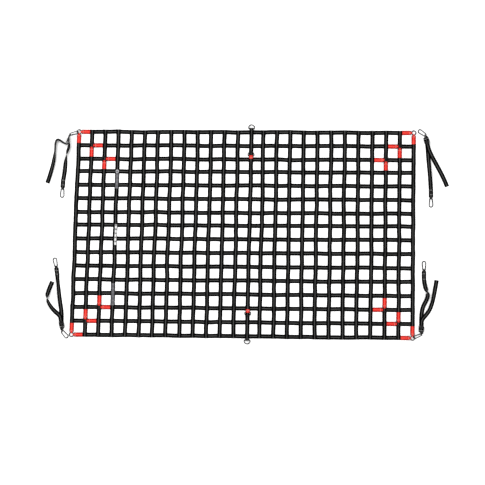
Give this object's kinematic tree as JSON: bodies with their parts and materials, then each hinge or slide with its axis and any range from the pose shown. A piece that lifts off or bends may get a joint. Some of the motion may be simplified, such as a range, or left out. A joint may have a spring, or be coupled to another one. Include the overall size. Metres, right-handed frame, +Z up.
{
  "type": "cargo net",
  "caption": "Flat black webbing cargo net with red marked corner rings, four D rings and four cam buckle tie-down straps with snap hooks at both ends.",
  "frame": {"origin": "middle of the net's outline, on the surface that the net lies on; the loose straps are left out", "axes": "+X along the net's long side, +Y across it towards the edge whose left corner ring has a strap hooked on, +Z up out of the net"},
  "size_m": [3.0639, 1.6697, 0.0412],
  "materials": {
    "black_webbing": "woven polyester, faint sheen",
    "red_webbing": "woven polyester, bright red",
    "ring_steel": "black coated steel",
    "hook_steel": "bright zinc plating",
    "buckle_steel": "black zinc plating",
    "grey_label": "satin label tape",
    "white_label": "satin label tape"
  },
  "bodies": {
    "net": {"top_rim_strap": "black_webbing", "bottom_rim_strap": "black_webbing", "left_rim_strap": "black_webbing", "right_rim_strap": "black_webbing", "lengthwise_straps": "black_webbing", "crosswise_straps": "black_webbing", "red_markers_top_left": "red_webbing", "red_markers_top_right": "red_webbing", "red_markers_bottom_left": "red_webbing", "red_markers_bottom_right": "red_webbing", "corner_ring_top_left": "ring_steel", "corner_ring_top_right": "ring_steel", "corner_ring_bottom_left": "ring_steel", "corner_ring_bottom_right": "ring_steel", "sizing_rings": "ring_steel", "black_ring_tabs": "black_webbing", "red_ring_tabs": "red_webbing", "size_label": "grey_label", "care_label": "white_label", "maker_label": "grey_label"},
    "dee_top_outer": {"dee_ring_top_outer": "ring_steel"},
    "dee_top_inner": {"dee_ring_top_inner": "ring_steel"},
    "dee_bottom_inner": {"dee_ring_bottom_inner": "ring_steel"},
    "dee_bottom_outer": {"dee_ring_bottom_outer": "ring_steel"},
    "strap_tl": {"tl_anchor_loop": "black_webbing", "tl_webbing": "black_webbing", "tl_buckle_frame": "buckle_steel", "tl_cam_pin": "buckle_steel", "tl_hook": "hook_steel"},
    "gate_tl": {"tl_hook_gate": "hook_steel"},
    "end_hook_tl": {"tl_end_hook": "hook_steel"},
    "end_gate_tl": {"tl_end_hook_gate": "hook_steel"},
    "cam_tl": {"tl_cam_lever": "buckle_steel"},
    "strap_tr": {"tr_anchor_loop": "black_webbing", "tr_webbing": "black_webbing", "tr_buckle_frame": "buckle_steel", "tr_cam_pin": "buckle_steel"},
    "hook_tr": {"tr_hook": "hook_steel"},
    "gate_tr": {"tr_hook_gate": "hook_steel"},
    "end_hook_tr": {"tr_end_hook": "hook_steel"},
    "end_gate_tr": {"tr_end_hook_gate": "hook_steel"},
    "cam_tr": {"tr_cam_lever": "buckle_steel"},
    "strap_bl": {"bl_anchor_loop": "black_webbing", "bl_webbing": "black_webbing", "bl_buckle_frame": "buckle_steel", "bl_cam_pin": "buckle_steel"},
    "hook_bl": {"bl_hook": "hook_steel"},
    "gate_bl": {"bl_hook_gate": "hook_steel"},
    "end_hook_bl": {"bl_end_hook": "hook_steel"},
    "end_gate_bl": {"bl_end_hook_gate": "hook_steel"},
    "cam_bl": {"bl_cam_lever": "buckle_steel"},
    "strap_br": {"br_anchor_loop": "black_webbing", "br_webbing": "black_webbing", "br_buckle_frame": "buckle_steel", "br_cam_pin": "buckle_steel", "br_hook": "hook_steel"},
    "gate_br": {"br_hook_gate": "hook_steel"},
    "end_hook_br": {"br_end_hook": "hook_steel"},
    "end_gate_br": {"br_end_hook_gate": "hook_steel"},
    "cam_br": {"br_cam_lever": "buckle_steel"}
  },
  "joints": [
    {"name": "dee_top_outer_flip", "type": "hinge", "parent": "net", "child": "dee_top_outer", "pos_m": [0.0686, 0.80236, 0.00855], "axis": [1, 0, 0], "range_deg": [0, 180]},
    {"name": "dee_top_inner_flip", "type": "hinge", "parent": "net", "child": "dee_top_inner", "pos_m": [0.06406, 0.59656, 0.00855], "axis": [1, 0, 0], "range_deg": [0, 175]},
    {"name": "dee_bottom_inner_flip", "type": "hinge", "parent": "net", "child": "dee_bottom_inner", "pos_m": [0.03904, -0.59074, 0.00855], "axis": [-1, 0, 0], "range_deg": [0, 175]},
    {"name": "dee_bottom_outer_flip", "type": "hinge", "parent": "net", "child": "dee_bottom_outer", "pos_m": [0.03436, -0.80235, 0.00855], "axis": [-1, 0, 0], "range_deg": [0, 180]},
    {"name": "tl_strap_swing", "type": "hinge", "parent": "net", "child": "strap_tl", "pos_m": [-1.24, 0.779, 0.013], "axis": [0, 0, 1], "range_deg": [-120, 0]},
    {"name": "tl_gate", "type": "hinge", "parent": "strap_tl", "child": "gate_tl", "pos_m": [-1.2946, 0.75522, 0.00519], "axis": [0.1949, -0.6797, 0.7071], "range_deg": [0, 25], "stiffness_Nm_per_rad": 0.02, "springref_deg": -17.19},
    {"name": "tl_end_hook_swing", "type": "hinge", "parent": "strap_tl", "child": "end_hook_tl", "pos_m": [-1.367, 0.345, 0.00495], "axis": [-0.9976, 0.0698, 0], "range_deg": [0, 140]},
    {"name": "tl_end_gate", "type": "hinge", "parent": "end_hook_tl", "child": "end_gate_tl", "pos_m": [-1.37892, 0.33285, 0.00456], "axis": [-0.0021, -0.0296, 0.9996], "range_deg": [0, 25], "stiffness_Nm_per_rad": 0.02, "springref_deg": -17.19},
    {"name": "tl_cam_press", "type": "hinge", "parent": "strap_tl", "child": "cam_tl", "pos_m": [-1.327, 0.715, 0.0207], "axis": [0, 0, 1], "range_deg": [0, 28], "stiffness_Nm_per_rad": 0.03, "springref_deg": -28.65},
    {"name": "tr_strap_lift", "type": "slide", "parent": "net", "child": "strap_tr", "axis": [0, 0, 1], "range_m": [0, 0.3]},
    {"name": "tr_hook_swing", "type": "hinge", "parent": "strap_tr", "child": "hook_tr", "pos_m": [1.389, 0.753, 0.00495], "axis": [0.5736, 0.8192, 0], "range_deg": [0, 100]},
    {"name": "tr_gate", "type": "hinge", "parent": "hook_tr", "child": "gate_tr", "pos_m": [1.38473, 0.76948, 0.00456], "axis": [-0.0243, 0.017, 0.9996], "range_deg": [0, 25], "stiffness_Nm_per_rad": 0.02, "springref_deg": -17.19},
    {"name": "tr_end_hook_swing", "type": "hinge", "parent": "strap_tr", "child": "end_hook_tr", "pos_m": [1.431, 0.271, 0.00495], "axis": [-1, 0, 0], "range_deg": [0, 140]},
    {"name": "tr_end_gate", "type": "hinge", "parent": "end_hook_tr", "child": "end_gate_tr", "pos_m": [1.41995, 0.25805, 0.00456], "axis": [0, -0.0297, 0.9996], "range_deg": [0, 25], "stiffness_Nm_per_rad": 0.02, "springref_deg": -17.19},
    {"name": "tr_cam_press", "type": "hinge", "parent": "strap_tr", "child": "cam_tr", "pos_m": [1.39929, 0.70477, 0.013], "axis": [0.9703, 0.2419, 0], "range_deg": [0, 28], "stiffness_Nm_per_rad": 0.03, "springref_deg": -28.65},
    {"name": "bl_strap_lift", "type": "slide", "parent": "net", "child": "strap_bl", "axis": [0, 0, 1], "range_m": [0, 0.3]},
    {"name": "bl_hook_swing", "type": "hinge", "parent": "strap_bl", "child": "hook_bl", "pos_m": [-1.371, -0.734, 0.00495], "axis": [-0.7716, -0.6361, 0], "range_deg": [0, 100]},
    {"name": "bl_gate", "type": "hinge", "parent": "hook_bl", "child": "gate_bl", "pos_m": [-1.37129, -0.75102, 0.00456], "axis": [0.0189, -0.0229, 0.9996], "range_deg": [0, 25], "stiffness_Nm_per_rad": 0.02, "springref_deg": -17.19},
    {"name": "bl_end_hook_swing", "type": "hinge", "parent": "strap_bl", "child": "end_hook_bl", "pos_m": [-1.416, -0.243, 0.00495], "axis": [0.9848, 0.1736, 0], "range_deg": [0, 140]},
    {"name": "bl_end_gate", "type": "hinge", "parent": "end_hook_bl", "child": "end_gate_bl", "pos_m": [-1.40737, -0.22833, 0.00456], "axis": [-0.0052, 0.0292, 0.9996], "range_deg": [0, 25], "stiffness_Nm_per_rad": 0.02, "springref_deg": -17.19},
    {"name": "bl_cam_press", "type": "hinge", "parent": "strap_bl", "child": "cam_bl", "pos_m": [-1.37451, -0.67939, 0.013], "axis": [-0.9848, -0.1736, 0], "range_deg": [0, 28], "stiffness_Nm_per_rad": 0.03, "springref_deg": -28.65},
    {"name": "br_strap_swing", "type": "hinge", "parent": "net", "child": "strap_br", "pos_m": [1.29, -0.78785, 0.013], "axis": [0, 0, 1], "range_deg": [-110, 0]},
    {"name": "br_gate", "type": "hinge", "parent": "strap_br", "child": "gate_br", "pos_m": [1.34182, -0.75849, 0.00519], "axis": [-0.2649, 0.6556, 0.7071], "range_deg": [0, 25], "stiffness_Nm_per_rad": 0.02, "springref_deg": -17.19},
    {"name": "br_end_hook_swing", "type": "hinge", "parent": "strap_br", "child": "end_hook_br", "pos_m": [1.378, -0.269, 0.00495], "axis": [1, 0, 0], "range_deg": [0, 140]},
    {"name": "br_end_gate", "type": "hinge", "parent": "end_hook_br", "child": "end_gate_br", "pos_m": [1.38905, -0.25605, 0.00456], "axis": [0, 0.0297, 0.9996], "range_deg": [0, 25], "stiffness_Nm_per_rad": 0.02, "springref_deg": -17.19},
    {"name": "br_cam_press", "type": "hinge", "parent": "strap_br", "child": "cam_br", "pos_m": [1.35791, -0.71202, 0.013], "axis": [-0.9994, 0.0349, 0], "range_deg": [0, 28], "stiffness_Nm_per_rad": 0.03, "springref_deg": -28.65}
  ]
}
